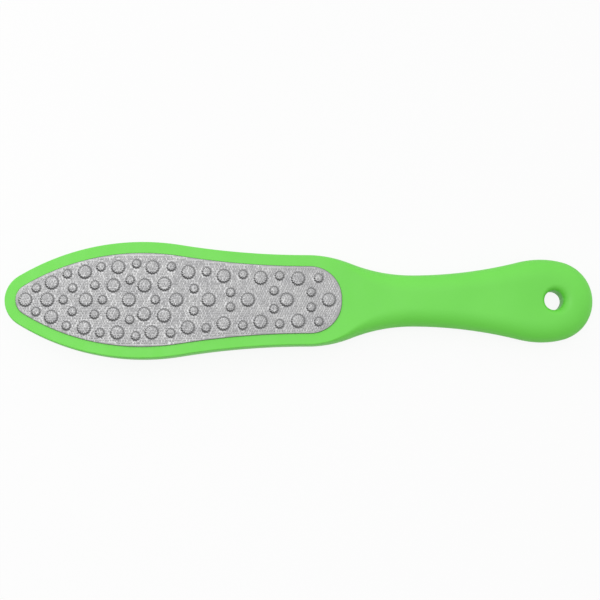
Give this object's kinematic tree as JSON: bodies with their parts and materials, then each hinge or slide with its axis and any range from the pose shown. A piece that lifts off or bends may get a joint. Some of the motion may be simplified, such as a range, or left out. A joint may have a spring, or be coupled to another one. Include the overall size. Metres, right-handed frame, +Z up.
{
  "type": "foot file",
  "caption": "Two-sided foot file: a broad head with a bumped coarse steel plate and a flat fine plate, on a flat waisted plastic handle with a hang hole in its rounded end.",
  "frame": {"origin": "under the middle of the file's length, on the plane of the fine plate it lies on", "axes": "+X along the length from the head to the butt of the handle, +Y across, +Z up out of the coarse face"},
  "size_m": [0.259, 0.052, 0.0139],
  "materials": {
    "handle": "soft-touch paint, satin",
    "coarse_plate": "etched stainless steel",
    "fine_plate": "finely etched stainless steel",
    "adhesive": "matte"
  },
  "bodies": {
    "root": {"front_shell": "handle", "rear_shell": "handle", "front_file_plate": "coarse_plate", "rear_file_plate": "fine_plate", "front_adhesive_film": "adhesive", "rear_adhesive_film": "adhesive"}
  },
  "joints": []
}
